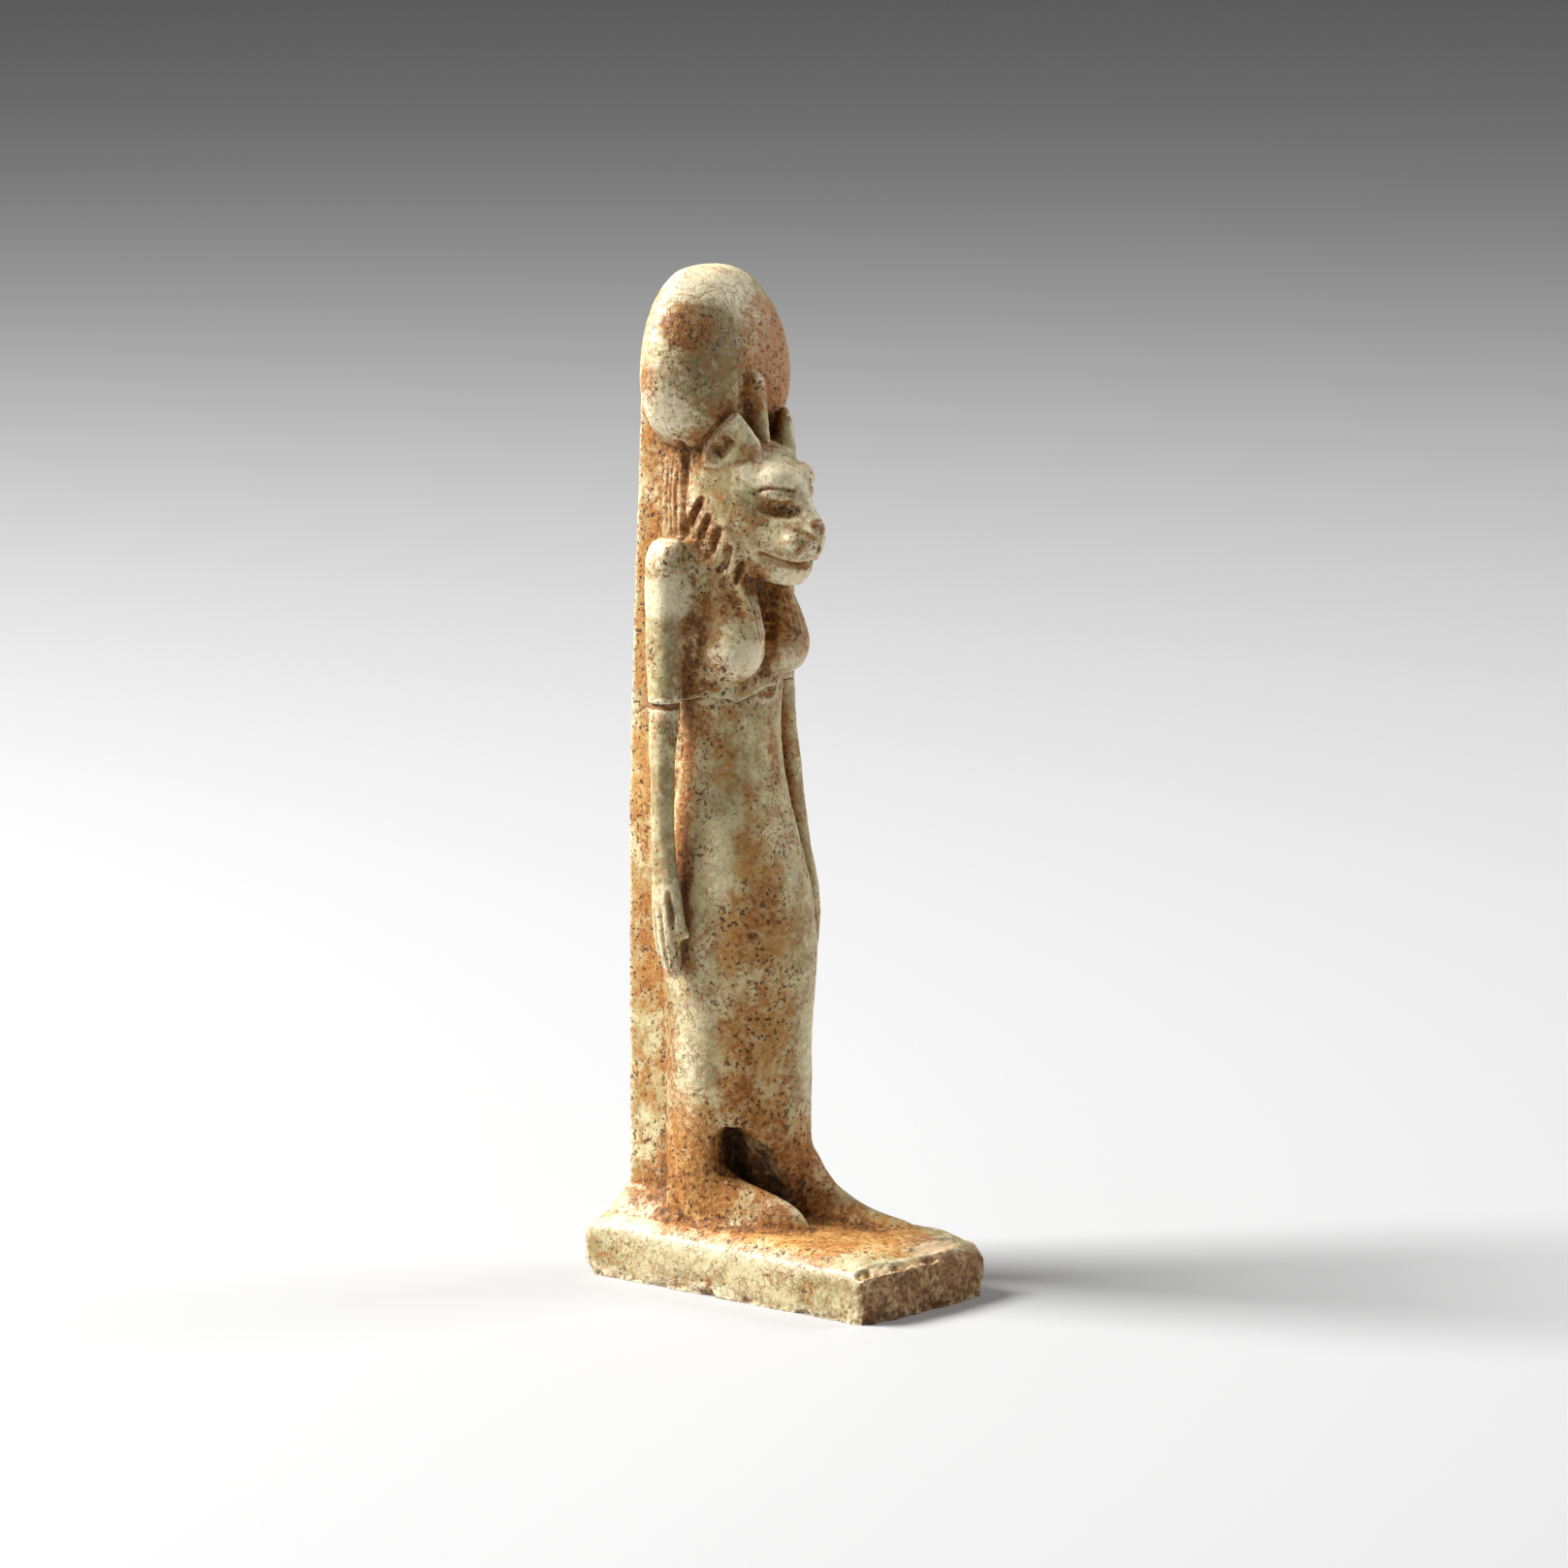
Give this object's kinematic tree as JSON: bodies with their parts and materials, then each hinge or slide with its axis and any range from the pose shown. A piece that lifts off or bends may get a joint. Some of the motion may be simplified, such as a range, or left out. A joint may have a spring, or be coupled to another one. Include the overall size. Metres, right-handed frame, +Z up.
{
  "type": "lioness goddess figure",
  "caption": "Standing lioness-headed goddess in a sheath dress, with sun disc, cobra, back pillar and plinth moulded as one, in worn pale glazed composition.",
  "frame": {"origin": "centre of the plinth's underside, on the surface that the figure stands on", "axes": "+Z up, -Y the way she faces, +X her left"},
  "size_m": [0.0192, 0.0355, 0.096],
  "materials": {
    "glazed_composition": "satin"
  },
  "bodies": {
    "root": {"figure": "glazed_composition"}
  },
  "joints": []
}
